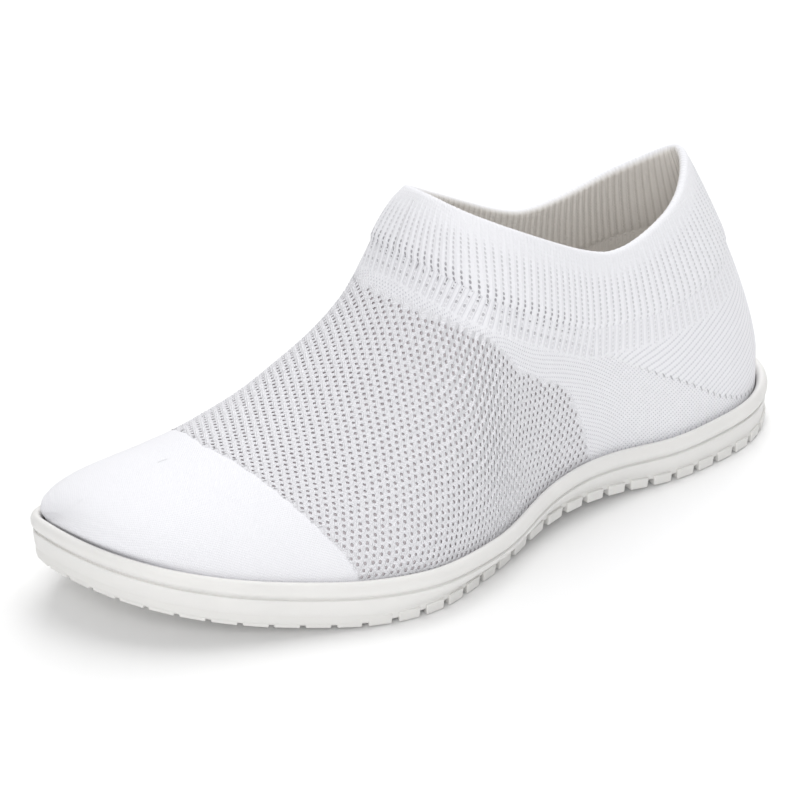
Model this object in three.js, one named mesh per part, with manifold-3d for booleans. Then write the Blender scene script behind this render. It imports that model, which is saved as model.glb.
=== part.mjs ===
// Left barefoot slip-on shoe: knitted sock upper, foam midsole cup, lugged rubber outsole, loose insole.
// Millimetres. +X runs from heel to toe, +Y to the outer (lateral) side, +Z up from the floor.
import * as THREE from "three";
import Module from "manifold-3d";

const SOLE_LENGTH = 265;
const BALL_WIDTH = 100;
const TOE_SPRING = 14;
const HEEL_SPRING = 1.6;
const ARCH_LIFT = 3.6;
const TOE_TIP_OFFSET = -25;

const LUG_HEIGHT = 4.2;
const LUG_PROUD = 0.9;
const LUG_PITCH = 9.4;
const LUG_NOTCH = 2.2;
const LUG_DEPTH = 12;
const LUG_SLANT = 1.6;
const LUG_RELIEF = 0.3;
const LUG_ROOT = 0.4;
const TOE_NOTCH = 1.1;
const TREAD_THICKNESS = 2;
const TOE_TREAD_THICKNESS = 3.1;
const RIB_PITCH = 13;
const RIB_GAP = 3;
const RIB_MARGIN = 15;
const WAIST_TUCK = 5;

const WALL_HEIGHT = 5.4;
const WALL_BATTER = 0.5;
const GROOVE_HEIGHT = 0.6;
const GROOVE_DEPTH = 0.9;
const GROOVE_LIP = 0.3;
const BEAD_HEIGHT = 5;
const BEAD_WIDTH = 3.3;
const BEAD_PROUD = 0.6;
const CUP_FLOOR = 2.6;
const INSOLE_THICKNESS = 3.4;
const INSOLE_GAP = 0.6;
const INSOLE_EDGE = 0.8;
const CLEARANCE = 0.3;

const UPPER_WALL = 1.8;
const CUFF_PROUD = 0.8;
const CUFF_LINING = 0.4;
const COLLAR_BACK = 81;
const COLLAR_LOW = 65.2;
const INSTEP_HEIGHT = 88.5;
const CUFF_BACK = 48.7;
const CUFF_LOW = 41.7;
const HEEL_LEAN = 28.5;
const TOE_PUFF = 3.8;

// Where things end along the shoe, as shares of its length.
const COLLAR_END = 0.493;
const CUFF_END = 0.534;
const ARCH_START = 0.22;
const ARCH_END = 0.57;
const SPRING_START = 0.7;
const BEND_START = 0.45;
const BEVEL_END = 0.09;
const LEAN_END = 0.55;
const LUGS_STAND_OUT = 0.62;
const LUGS_FLUSH = 0.8;
const PUFF_START = 0.88;

// The heel leans forward from this share of the collar's height.
const LEAN_START = 0.134;

// The knit ends just inside the cuff's rolled rim.
const KNIT_REACH = 0.985;

// Sole outline, a row per station from heel to toe. Half widths are shares of BALL_WIDTH, and the tucks,
// by which the sole's lower edge draws in at the waist, are shares of WAIST_TUCK.
const OUTLINE = [
  { at: 0, lateral: 0.276, medial: 0.309, tuckLateral: 0, tuckMedial: 0 },
  { at: 0.1, lateral: 0.31, medial: 0.329, tuckLateral: 0, tuckMedial: 0 },
  { at: 0.2, lateral: 0.3455, medial: 0.316, tuckLateral: 0.1, tuckMedial: 0.1 },
  { at: 0.32, lateral: 0.3425, medial: 0.297, tuckLateral: 0.35, tuckMedial: 0.7 },
  { at: 0.44, lateral: 0.397, medial: 0.32, tuckLateral: 0.7, tuckMedial: 1 },
  { at: 0.56, lateral: 0.515, medial: 0.396, tuckLateral: 1, tuckMedial: 0.6 },
  { at: 0.66, lateral: 0.554, medial: 0.4465, tuckLateral: 0.45, tuckMedial: 0.1 },
  { at: 0.74, lateral: 0.512, medial: 0.464, tuckLateral: 0, tuckMedial: 0 },
  { at: 0.82, lateral: 0.4595, medial: 0.458, tuckLateral: 0, tuckMedial: 0 },
  { at: 0.9, lateral: 0.4425, medial: 0.441, tuckLateral: 0, tuckMedial: 0 },
  { at: 1, lateral: 0.46, medial: 0.405, tuckLateral: 0, tuckMedial: 0 },
];

// Upper, a row per station. The ridge is a share of INSTEP_HEIGHT above the sole's edge, its offset to the
// medial side a share of BALL_WIDTH, and round is 2 for an elliptic section and more for a squarer one.
const SECTIONS = [
  { at: 0, ridge: 1.035, offset: 0, round: 1.5 },
  { at: 0.2, ridge: 1.175, offset: -0.006, round: 1.58 },
  { at: 0.32, ridge: 1.287, offset: -0.004, round: 1.76 },
  { at: 0.39, ridge: 1.2, offset: -0.012, round: 1.92 },
  { at: 0.44, ridge: 1.1, offset: -0.03, round: 2.02 },
  { at: 0.498, ridge: 1, offset: -0.054, round: 2.12 },
  { at: 0.56, ridge: 0.694, offset: -0.08, round: 2.28 },
  { at: 0.66, ridge: 0.446, offset: -0.102, round: 2.38 },
  { at: 0.76, ridge: 0.322, offset: -0.125, round: 2.38 },
  { at: 0.86, ridge: 0.25, offset: -0.14, round: 2.34 },
  { at: 0.94, ridge: 0.2, offset: -0.147, round: 2.32 },
  { at: 1, ridge: 0.16, offset: -0.155, round: 2.32 },
];

// Lines round the ankle: heights at the heel and at the lowest station, and how each dips between them.
const RIM_LINE = {
  end: COLLAR_END, lowest: 0.268, back: COLLAR_BACK, low: COLLAR_LOW, rearPower: 1.75, frontPower: 1.5,
};
const CUFF_LINE = {
  end: CUFF_END, lowest: 0.33, back: CUFF_BACK, low: CUFF_LOW, rearPower: 3, frontPower: 1.33,
};

const HEEL_CAP = { reach: 0.136, power: 2.17 };
const TOE_CAP_LATERAL = { reach: 0.36, power: 2.3 };
const TOE_CAP_MEDIAL = { reach: 0.1, power: 2.1 };
const TOE_CAP_HEIGHT = { reach: 0.14, power: 2.6 };

const STATIONS = 42;
const SIDE_ROWS = 10;
const CUFF_ROWS = 5;
const CUFF_STATIONS = 21;
const ROLL_STEPS = 4;
const TREAD_STATIONS = 28;

const wasm = await Module();
wasm.setup();

const clamp = (value) => Math.min(1, Math.max(0, value));
const mix = (a, b, share) => a + (b - a) * share;

// Soft step from 0 to 1 between two values.
function smoothStep(value, start, end) {
  const t = clamp((value - start) / (end - start));
  return t * t * (3 - 2 * t);
}

// Smooth curve through one column of a table.
function along(rows, column, at) {
  const last = rows.length - 1;
  let i = 0;
  while (i < last - 1 && at > rows[i + 1].at) i += 1;
  const chord = (j) => (rows[j + 1][column] - rows[j][column]) / (rows[j + 1].at - rows[j].at);
  const slope = (j) => {
    if (j === 0) return chord(0);
    if (j === last) return chord(last - 1);
    const before = rows[j].at - rows[j - 1].at;
    const after = rows[j + 1].at - rows[j].at;
    return (chord(j - 1) * after + chord(j) * before) / (before + after);
  };
  const step = rows[i + 1].at - rows[i].at;
  const t = (at - rows[i].at) / step;
  const t2 = t * t;
  const t3 = t2 * t;
  return (2 * t3 - 3 * t2 + 1) * rows[i][column] + (t3 - 2 * t2 + t) * step * slope(i)
    + (3 * t2 - 2 * t3) * rows[i + 1][column] + (t3 - t2) * step * slope(i + 1);
}

// Rounded end of the outline: 0 at the tip, 1 beyond the reach.
const endCap = (distance, { reach, power }) =>
  (1 - (1 - clamp(distance / reach)) ** power) ** (1 / power);

// The middle line bends to the medial side towards the big toe.
const middle = (at) => TOE_TIP_OFFSET * smoothStep(at, BEND_START, 1);

// The underside's height: raised waist, toe spring and a slight heel bevel, flat under heel and ball.
function lift(at) {
  const arch = clamp((at - ARCH_START) / (ARCH_END - ARCH_START));
  const toe = clamp((at - SPRING_START) / (1 - SPRING_START));
  const heel = clamp((BEVEL_END - at) / BEVEL_END);
  return ARCH_LIFT * Math.sin(Math.PI * arch) ** 2 + TOE_SPRING * toe ** 1.8 + HEEL_SPRING * heel ** 2;
}

// Point of the outline by angle: 0 at the heel, over the lateral side to PI at the toe, and back.
const stationOf = (angle) => (1 - Math.cos(angle)) / 2;

function outline(angle) {
  const at = stationOf(angle);
  const side = Math.sin(angle) >= 0 ? 1 : -1;
  const width = BALL_WIDTH * along(OUTLINE, side > 0 ? "lateral" : "medial", at);
  const toe = side > 0 ? TOE_CAP_LATERAL : TOE_CAP_MEDIAL;
  const share = endCap(at, HEEL_CAP) * endCap(1 - at, toe);
  const centre = middle(at);
  return new THREE.Vector2(at * SOLE_LENGTH, centre + (side * width - centre) * share);
}

// The outline moved inward by a distance, square to itself.
function edge(angle, inset) {
  const ahead = outline(angle + 0.004);
  const behind = outline(angle - 0.004);
  const normal = new THREE.Vector2(behind.y - ahead.y, ahead.x - behind.x).normalize();
  return outline(angle).addScaledVector(normal, -inset);
}

const edgePoint = (angle, inset, height) => {
  const point = edge(angle, inset);
  return new THREE.Vector3(point.x, point.y, height + lift(point.x / SOLE_LENGTH));
};

// Heights of the layers above the underside.
const TREAD_TOP = LUG_HEIGHT;
const MIDSOLE_BASE = TREAD_TOP + CLEARANCE;
const GROOVE_BASE = MIDSOLE_BASE + WALL_HEIGHT;
const BEAD_BASE = GROOVE_BASE + GROOVE_HEIGHT;
const BEAD_TOP = BEAD_BASE + BEAD_HEIGHT;
const FLOOR_TOP = MIDSOLE_BASE + CUP_FLOOR;
const UPPER_INSET = BEAD_WIDTH + CLEARANCE;
const UPPER_FOOT = FLOOR_TOP + CLEARANCE;
const FEATHER = BEAD_TOP - 0.12 * BEAD_HEIGHT;

// Closed mesh builder: welds equal corners and drops faces that close up to nothing.
class Skin {
  constructor() {
    this.points = [];
    this.faces = [];
    this.known = new Map();
  }

  add(point) {
    const key = [point.x, point.y, point.z].map((value) => Math.round(value * 2000)).join(" ");
    if (!this.known.has(key)) {
      this.known.set(key, this.points.length);
      this.points.push(point.clone());
    }
    return this.known.get(key);
  }

  face(a, b, c) {
    if (a !== b && b !== c && c !== a) this.faces.push([a, b, c]);
  }

  quad(a, b, c, d) {
    this.face(a, b, c);
    this.face(a, c, d);
  }

  geometry() {
    const result = new THREE.BufferGeometry();
    const places = this.points.flatMap((p) => p.toArray());
    result.setAttribute("position", new THREE.Float32BufferAttribute(places, 3));
    result.setIndex(this.faces.flat());
    return result;
  }

  solid() {
    return new wasm.Manifold(new wasm.Mesh({
      numProp: 3,
      vertProperties: new Float32Array(this.points.flatMap((p) => p.toArray())),
      triVerts: new Uint32Array(this.faces.flat()),
    }));
  }
}

function geometryOf(solid) {
  const mesh = solid.getMesh();
  const result = new THREE.BufferGeometry();
  result.setAttribute("position", new THREE.BufferAttribute(mesh.vertProperties, 3));
  result.setIndex(new THREE.BufferAttribute(mesh.triVerts, 1));
  return result;
}

// Solid between closed rings that follow the outline, from the bottom face to the top face. A profile
// gives each ring's inset and height. The faces at both ends are rungs straight across the sole.
function ringStack(profile, count) {
  const skin = new Skin();
  const angles = Array.from({ length: 2 * count }, (_, i) => Math.PI * i / count);
  const columns = angles.map((angle) =>
    profile(angle).map(([inset, height]) => skin.add(edgePoint(angle, inset, height))));
  const rings = columns[0].map((_, r) => columns.map((column) => column[r]));
  for (let r = 0; r + 1 < rings.length; r += 1) {
    for (let i = 0; i < 2 * count; i += 1) {
      const j = (i + 1) % (2 * count);
      skin.quad(rings[r][j], rings[r][i], rings[r + 1][i], rings[r + 1][j]);
    }
  }
  const cap = (ring, up) => {
    const back = [...ring.slice(count), ring[0]].reverse();
    for (let i = 0; i < count; i += 1) {
      const rung = [ring[i], ring[i + 1], back[i + 1], back[i]];
      if (up) skin.quad(rung[3], rung[2], rung[1], rung[0]);
      else skin.quad(...rung);
    }
  };
  cap(rings[0], false);
  cap(rings.at(-1), true);
  return skin;
}

// Outsole: a thin layer with lugs round its edge and ribs across the heel and forefoot.
function treadInset(angle) {
  const column = Math.sin(angle) >= 0 ? "tuckLateral" : "tuckMedial";
  return WALL_BATTER + WAIST_TUCK * Math.max(0, along(OUTLINE, column, stationOf(angle)));
}

// The lugs are flush with the wall round the toe and stand out from the ball back: 0 there to 1.
const prominence = (angle) => 1 - smoothStep(stationOf(angle), LUGS_STAND_OUT, LUGS_FLUSH);

// Tapered block that reaches from its bottom height into the layer above.
function block(corners, bottom, taper) {
  const centre = corners.reduce((sum, p) => sum.add(p), new THREE.Vector2()).multiplyScalar(0.25);
  const skin = new Skin();
  const ring = (share, height) => corners.map((p) => {
    const q = p.clone().lerp(centre, share);
    return skin.add(new THREE.Vector3(q.x, q.y, height + lift(clamp(p.x / SOLE_LENGTH))));
  });
  const low = ring(taper, bottom);
  const high = ring(0, TREAD_TOP - LUG_ROOT);
  for (let i = 0; i < 4; i += 1) {
    const j = (i + 1) % 4;
    skin.quad(low[i], low[j], high[j], high[i]);
  }
  skin.quad(low[3], low[2], low[1], low[0]);
  skin.quad(high[0], high[1], high[2], high[3]);
  return skin.solid();
}

function lugs() {
  const steps = 720;
  const lengths = [0];
  const angles = Array.from({ length: steps + 1 }, (_, i) => 2 * Math.PI * i / steps);
  for (let i = 1; i <= steps; i += 1) {
    lengths.push(lengths[i - 1] + outline(angles[i]).distanceTo(outline(angles[i - 1])));
  }
  const angleAt = (distance) => {
    let i = 1;
    while (i < steps && lengths[i] < distance) i += 1;
    return mix(angles[i - 1], angles[i], (distance - lengths[i - 1]) / (lengths[i] - lengths[i - 1]));
  };
  const total = lengths.at(-1);
  const number = Math.round(total / LUG_PITCH);
  const pitch = total / number;
  return Array.from({ length: number }, (_, i) => {
    const start = angleAt((i + 0.5) * pitch);
    const notch = mix(TOE_NOTCH, LUG_NOTCH, prominence(start));
    const end = angleAt((i + 1.5) * pitch - notch);
    const slanted = angleAt((i + 1.5) * pitch - notch - LUG_SLANT);
    const outer = (angle) => edge(angle, treadInset(angle) - LUG_PROUD * prominence(angle));
    const inner = (angle) => edge(angle, treadInset(angle) + LUG_DEPTH);
    return block([outer(start), inner(start), inner(slanted), outer(end)], LUG_RELIEF, 0.06);
  });
}

function ribs(from, to) {
  const number = Math.round((to - from) * SOLE_LENGTH / RIB_PITCH);
  const pitch = (to - from) * SOLE_LENGTH / number;
  return Array.from({ length: number }, (_, i) => {
    const start = from * SOLE_LENGTH + i * pitch;
    const end = start + pitch - RIB_GAP;
    const reach = (x, side) => {
      const angle = side * Math.acos(1 - 2 * x / SOLE_LENGTH);
      return new THREE.Vector2(x, outline(angle).y - side * RIB_MARGIN);
    };
    return block([reach(start, 1), reach(start, -1), reach(end, -1), reach(end, 1)], 0, 0.02);
  });
}

function layerProfile(angle) {
  const inset = treadInset(angle);
  const thickness = mix(TOE_TREAD_THICKNESS, TREAD_THICKNESS, prominence(angle));
  return [
    [inset + 0.4 * TREAD_THICKNESS, TREAD_TOP - thickness],
    [inset, TREAD_TOP - 0.6 * thickness],
    [inset, TREAD_TOP],
  ];
}

const plate = ringStack(layerProfile, TREAD_STATIONS).solid();
const outsoleGeometry = geometryOf(
  wasm.Manifold.union([plate, ...lugs(), ...ribs(0.08, 0.3), ...ribs(0.5, 0.9)]),
);

// Midsole: a shallow cup with a battered wall, a groove and a rounded bead that stands slightly proud.
const bead = [0, 0.2, 0.45, 0.72, 1].map((share) => {
  const turn = Math.PI * share;
  const half = (BEAD_WIDTH + BEAD_PROUD) / 2;
  return [BEAD_WIDTH - half - half * Math.cos(turn), BEAD_BASE + BEAD_HEIGHT * (0.4 + 0.6 * Math.sin(turn))];
});
const midsoleGeometry = ringStack((angle) => [
  [treadInset(angle) - 0.4 * WALL_BATTER, MIDSOLE_BASE],
  [0.3 * treadInset(angle), MIDSOLE_BASE + 0.5 * WALL_HEIGHT],
  [0, GROOVE_BASE - GROOVE_LIP],
  [GROOVE_DEPTH, GROOVE_BASE],
  [GROOVE_DEPTH, BEAD_BASE],
  [-BEAD_PROUD * 0.4, BEAD_BASE + 0.1 * BEAD_HEIGHT],
  ...bead,
  [BEAD_WIDTH, FLOOR_TOP],
], STATIONS).geometry();

// Insole: lies in the cup inside the upper's lower edge.
const insoleInset = UPPER_INSET + UPPER_WALL + INSOLE_GAP;
const insoleGeometry = ringStack(() => [
  [insoleInset + 0.5 * INSOLE_EDGE, FLOOR_TOP + CLEARANCE],
  [insoleInset, FLOOR_TOP + CLEARANCE + 0.3 * INSOLE_THICKNESS],
  [insoleInset, FLOOR_TOP + CLEARANCE + 0.75 * INSOLE_THICKNESS],
  [insoleInset + INSOLE_EDGE, FLOOR_TOP + CLEARANCE + INSOLE_THICKNESS],
], STATIONS).geometry();

// Upper: point of its outer face at a station and a rise from 0 at the feather line to PI / 2 on the ridge.
const ridge = (at) => INSTEP_HEIGHT * along(SECTIONS, "ridge", at) * endCap(1 - at, TOE_CAP_HEIGHT);

function upperPoint(at, side, rise) {
  const angle = Math.acos(1 - 2 * clamp(at));
  const foot = edge(side * angle, UPPER_INSET);
  const middleOfFeet = edge(angle, UPPER_INSET).lerp(edge(-angle, UPPER_INSET), 0.5);
  const up = Math.sin(rise);
  const height = ridge(at) * up;
  const narrowing = Math.max(0, Math.cos(rise)) ** (2 / along(SECTIONS, "round", at));
  const reach = BALL_WIDTH * along(SECTIONS, "offset", at) - middleOfFeet.y;
  const base = foot.clone().lerp(middleOfFeet, up * up);
  const lean = HEEL_LEAN * clamp((height / COLLAR_BACK - LEAN_START) / (1 - LEAN_START)) ** 1.3;
  const fade = clamp(1 - at / LEAN_END) ** 0.94;
  const rounding = endCap(1 - at, TOE_CAP_HEIGHT);
  const puff = TOE_PUFF * smoothStep(at, PUFF_START, 1) * rounding * Math.sin(Math.PI * up);
  const outward = foot.clone().sub(edge(side * angle, UPPER_INSET + 1)).multiplyScalar(puff);
  return new THREE.Vector3(
    base.x + lean * fade + outward.x,
    middleOfFeet.y + reach * rounding * up * up + (foot.y - middleOfFeet.y) * narrowing + outward.y,
    FEATHER + lift(base.x / SOLE_LENGTH) + height,
  );
}

// Rise of a line round the ankle that dips between the heel and where it crosses the ridge.
function riseOf(at, line) {
  if (at >= line.end) return Math.PI / 2;
  const height = at < line.lowest
    ? mix(line.low, line.back, ((line.lowest - at) / line.lowest) ** line.rearPower)
    : mix(line.low, ridge(line.end), ((at - line.lowest) / (line.end - line.lowest)) ** line.frontPower);
  return Math.asin(clamp(height / ridge(at)));
}

const rimRise = (at) => riseOf(at, RIM_LINE);
const cuffRise = (at) => riseOf(at, CUFF_LINE);

// Stations crowd at the heel, at the collar's front and at the toe.
function stationShares() {
  const behind = Math.round(STATIONS * 0.48);
  const ahead = STATIONS - behind;
  const spread = (count, from, to) =>
    Array.from({ length: count }, (_, i) => mix(from, to, (1 - Math.cos(Math.PI * i / count)) / 2));
  return [...spread(behind, 0, COLLAR_END), ...spread(ahead, COLLAR_END, 1), 1];
}

function normalsOf(skin) {
  const normals = skin.points.map(() => new THREE.Vector3());
  for (const [a, b, c] of skin.faces) {
    const side = new THREE.Vector3().subVectors(skin.points[b], skin.points[a]);
    const other = new THREE.Vector3().subVectors(skin.points[c], skin.points[a]);
    const normal = side.cross(other);
    for (const index of [a, b, c]) normals[index].add(normal);
  }
  return normals.map((normal) => normal.normalize());
}

// Gives an open skin a wall, closed round its open edges by a flat or rounded lip.
function thicken(skin, outward, inward, rounded) {
  const normals = normalsOf(skin);
  const count = skin.points.length;
  const open = new Map();
  const edges = new Set(skin.faces.flatMap(([a, b, c]) => [`${a} ${b}`, `${b} ${c}`, `${c} ${a}`]));
  for (const [a, b, c] of skin.faces) {
    for (const [from, to] of [[a, b], [b, c], [c, a]]) {
      if (!edges.has(`${to} ${from}`)) open.set(from, to);
    }
  }
  const outer = skin.points.map((point, i) => point.clone().addScaledVector(normals[i], outward));
  const inner = skin.points.map((point, i) => point.clone().addScaledVector(normals[i], -inward));
  const result = new Skin();
  result.points = [...outer, ...inner];
  result.faces = skin.faces.flatMap(([a, b, c]) => [[a, b, c], [c + count, b + count, a + count]]);
  const roll = new Map();
  const before = new Map([...open].map(([from, to]) => [to, from]));
  for (const [index, next] of open) {
    const run = skin.points[next].clone().sub(skin.points[before.get(index)]).normalize();
    const away = run.cross(normals[index]).normalize();
    const points = [index];
    for (let i = 1; i < (rounded ? ROLL_STEPS : 1); i += 1) {
      const angle = Math.PI * i / ROLL_STEPS;
      const half = (outward + inward) / 2;
      const point = outer[index].clone().lerp(inner[index], (1 - Math.cos(angle)) / 2);
      result.points.push(point.addScaledVector(away, half * Math.sin(angle)));
      points.push(result.points.length - 1);
    }
    points.push(index + count);
    roll.set(index, points);
  }
  for (const [from, to] of open) {
    const [a, b] = [roll.get(from), roll.get(to)];
    for (let i = 0; i + 1 < a.length; i += 1) result.quad(b[i], a[i], a[i + 1], b[i + 1]);
  }
  return result;
}

function upperSkin() {
  const skin = new Skin();
  const shares = stationShares();
  const columns = { 1: [], "-1": [] };
  for (const side of [1, -1]) {
    for (const at of shares) {
      const top = rimRise(at) * (at < COLLAR_END ? KNIT_REACH : 1);
      const foot = upperPoint(at, side, 0);
      const column = [new THREE.Vector3(foot.x, foot.y, foot.z - FEATHER + UPPER_FOOT)];
      for (let k = 0; k <= SIDE_ROWS; k += 1) column.push(upperPoint(at, side, top * k / SIDE_ROWS));
      columns[side].push(column.map((point) => skin.add(point)));
    }
    const grid = columns[side];
    for (let i = 0; i + 1 < grid.length; i += 1) {
      for (let k = 0; k + 1 < grid[i].length; k += 1) {
        const quad = [grid[i][k], grid[i + 1][k], grid[i + 1][k + 1], grid[i][k + 1]];
        if (side > 0) quad.reverse();
        skin.quad(...quad);
      }
    }
  }
  return skin;
}

// The folded cuff round the ankle, from its lower line up to the rolled rim.
function cuffSkin() {
  const skin = new Skin();
  for (const side of [1, -1]) {
    const grid = Array.from({ length: CUFF_STATIONS + 1 }, (_, i) => {
      const share = stationOf(Math.PI * i / CUFF_STATIONS);
      const low = share * CUFF_END;
      const high = share * COLLAR_END;
      const from = i === CUFF_STATIONS ? Math.PI / 2 : cuffRise(low);
      const to = i === CUFF_STATIONS ? Math.PI / 2 : rimRise(high);
      return Array.from({ length: CUFF_ROWS + 1 }, (__, k) =>
        skin.add(upperPoint(mix(low, high, k / CUFF_ROWS), side, mix(from, to, k / CUFF_ROWS))));
    });
    for (let i = 0; i < CUFF_STATIONS; i += 1) {
      for (let k = 0; k < CUFF_ROWS; k += 1) {
        const quad = [grid[i][k], grid[i + 1][k], grid[i + 1][k + 1], grid[i][k + 1]];
        if (side > 0) quad.reverse();
        skin.quad(...quad);
      }
    }
  }
  return skin;
}

const knit = thicken(upperSkin(), 0, UPPER_WALL, false).solid();
const cuff = thicken(cuffSkin(), CUFF_PROUD, UPPER_WALL + CUFF_LINING, true).solid();
const upperGeometry = geometryOf(knit.add(cuff));

const shoe = new THREE.Group();

function addPiece(name, geometry, color, roughness) {
  const mesh = new THREE.Mesh(geometry, new THREE.MeshStandardMaterial({ color, roughness, metalness: 0 }));
  mesh.name = name;
  shoe.add(mesh);
}

addPiece("upper", upperGeometry, "#efeff5", 0.95);
addPiece("midsole", midsoleGeometry, "#e4e4e3", 0.6);
addPiece("outsole", outsoleGeometry, "#e6e5e1", 0.65);
addPiece("insole", insoleGeometry, "#e9e8ea", 0.9);

// The origin is on the floor under the middle of the shoe's box.
const box = new THREE.Box3().setFromObject(shoe);
shoe.position.set(-(box.min.x + box.max.x) / 2, -(box.min.y + box.max.y) / 2, -box.min.z);
shoe.updateMatrixWorld(true);

export default shoe;
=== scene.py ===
"""Looks of a left knitted barefoot slip-on shoe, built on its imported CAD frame.

Lengths are millimetres in the shoe's own frame, heel tip at x = 0, until a piece is made. +X runs to the
toe, +Y to the outer side and +Z up. Pieces are placed in metres in the CAD frame.
"""
import math

import bmesh
import bpy
import numpy as np
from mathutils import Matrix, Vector
from mathutils.kdtree import KDTree


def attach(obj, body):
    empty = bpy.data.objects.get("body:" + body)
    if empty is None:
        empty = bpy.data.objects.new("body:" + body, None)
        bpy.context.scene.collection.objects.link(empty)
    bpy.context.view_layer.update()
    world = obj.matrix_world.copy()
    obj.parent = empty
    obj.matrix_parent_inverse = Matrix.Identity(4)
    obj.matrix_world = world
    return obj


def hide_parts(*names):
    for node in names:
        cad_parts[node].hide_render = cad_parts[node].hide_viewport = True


bl_info = {
    "name": "Barefoot Shoe",
    "version": (1, 0, 0),
    "blender": (4, 5, 0),
    "location": "View3D > Sidebar > Shoe",
    "description": "Builds the knit, foam and rubber pieces of a barefoot slip-on shoe",
    "category": "Add Mesh",
}

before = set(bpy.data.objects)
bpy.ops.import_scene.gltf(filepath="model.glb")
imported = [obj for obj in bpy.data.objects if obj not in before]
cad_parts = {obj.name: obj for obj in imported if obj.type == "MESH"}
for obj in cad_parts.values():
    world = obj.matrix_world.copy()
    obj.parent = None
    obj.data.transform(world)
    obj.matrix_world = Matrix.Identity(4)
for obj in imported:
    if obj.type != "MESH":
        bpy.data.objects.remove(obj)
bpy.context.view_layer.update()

MM = 0.001
HALF_TURN = math.pi
RIGHT_ANGLE = math.pi / 2

# Sizes of the CAD part that the pieces follow.
SOLE_LENGTH = 265.0
BALL_WIDTH = 100.0
CENTRE = np.array([SOLE_LENGTH / 2, 4.4933, 0.0])
TOE_SPRING = 14.0
HEEL_SPRING = 1.6
ARCH_LIFT = 3.6
TOE_TIP_OFFSET = -25.0
SWING_START = 0.45
ARCH_START = 0.22
ARCH_REACH = 0.35
TOE_SPRING_START = 0.7
TOE_SPRING_POWER = 1.8
HEEL_BEVEL_END = 0.09
TREAD_TOP = 4.2
TREAD_THICKNESS = 2.0
LUG_PROUD = 0.9
LUG_PITCH = 9.4
LUG_NOTCH = 2.2
LUG_DEPTH = 12.0
LUG_SLANT = 1.6
LUG_RELIEF = 0.3
LUG_ROOT = 0.4
TOE_NOTCH = 1.1
TOE_TREAD_THICKNESS = 3.1
LUGS_STAND_OUT = 0.62
LUGS_FLUSH = 0.8
RIB_PITCH = 13.0
RIB_GAP = 3.0
RIB_MARGIN = 15.0
RIB_ZONES = ((0.08, 0.3), (0.5, 0.9))
WAIST_TUCK = 5.0
WALL_BATTER = 0.5
MIDSOLE_BASE = 4.5
WALL_HEIGHT = 5.4
GROOVE_DEPTH = 0.9
GROOVE_HEIGHT = 0.6
BEAD_HEIGHT = 5.0
BEAD_WIDTH = 3.3
BEAD_PROUD = 0.6
FEATHER_SHARE = 0.88
CUP_FLOOR = 2.6
INSOLE_THICKNESS = 3.4
INSOLE_GAP = 0.6
CLEARANCE = 0.3
UPPER_WALL = 1.8
CUFF_PROUD = 0.8
CUFF_LINING = 0.4
COLLAR_BACK = 81.0
INSTEP_HEIGHT = 88.5
HEEL_LEAN = 28.5
LEAN_START = 0.134
LEAN_END = 0.55
LEAN_POWER = 1.3
LEAN_FADE = 0.94
TOE_PUFF = 3.8
PUFF_START = 0.88
COLLAR_END = 0.493
CUFF_END = 0.534
KNIT_REACH = 0.985
FLOOR_TOP = MIDSOLE_BASE + CUP_FLOOR
GROOVE_BASE = MIDSOLE_BASE + WALL_HEIGHT
BEAD_BASE = GROOVE_BASE + GROOVE_HEIGHT
UPPER_INSET = BEAD_WIDTH + CLEARANCE
UPPER_FOOT = FLOOR_TOP + CLEARANCE
FEATHER = BEAD_BASE + FEATHER_SHARE * BEAD_HEIGHT
INSOLE_INSET = UPPER_INSET + UPPER_WALL + INSOLE_GAP

# Sole outline by station: half widths as shares of BALL_WIDTH, tucks as shares of WAIST_TUCK.
OUTLINE_AT = np.array([0, 0.1, 0.2, 0.32, 0.44, 0.56, 0.66, 0.74, 0.82, 0.9, 1])
LATERAL = np.array([0.276, 0.31, 0.3455, 0.3425, 0.397, 0.515, 0.554, 0.512, 0.4595, 0.4425, 0.46])
MEDIAL = np.array([0.309, 0.329, 0.316, 0.297, 0.32, 0.396, 0.4465, 0.464, 0.458, 0.441, 0.405])
TUCK_LATERAL = np.array([0, 0, 0.1, 0.35, 0.7, 1, 0.45, 0, 0, 0, 0])
TUCK_MEDIAL = np.array([0, 0, 0.1, 0.7, 1, 0.6, 0.1, 0, 0, 0, 0])

# Upper by station: ridge height, its offset to the medial side, and the roundness of the section.
SECTION_AT = np.array([0, 0.2, 0.32, 0.39, 0.44, 0.498, 0.56, 0.66, 0.76, 0.86, 0.94, 1])
RIDGE = np.array([1.035, 1.175, 1.287, 1.2, 1.1, 1, 0.694, 0.446, 0.322, 0.25, 0.2, 0.16])
OFFSET = np.array([0, -0.006, -0.004, -0.012, -0.03, -0.054, -0.08, -0.102, -0.125, -0.14, -0.147, -0.155])
ROUND = np.array([1.5, 1.58, 1.76, 1.92, 2.02, 2.12, 2.28, 2.38, 2.38, 2.34, 2.32, 2.32])

HEEL_CAP = (0.136, 2.17)
TOE_CAP_LATERAL = (0.36, 2.3)
TOE_CAP_MEDIAL = (0.1, 2.1)
TOE_CAP_HEIGHT = (0.14, 2.6)

# Lines round the ankle: front end, lowest station, heights at the heel and there, rear and front powers.
RIM_LINE = (COLLAR_END, 0.268, COLLAR_BACK, 65.2, 1.75, 1.5)
CUFF_LINE = (CUFF_END, 0.33, 48.7, 41.7, 3.0, 1.33)

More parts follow.
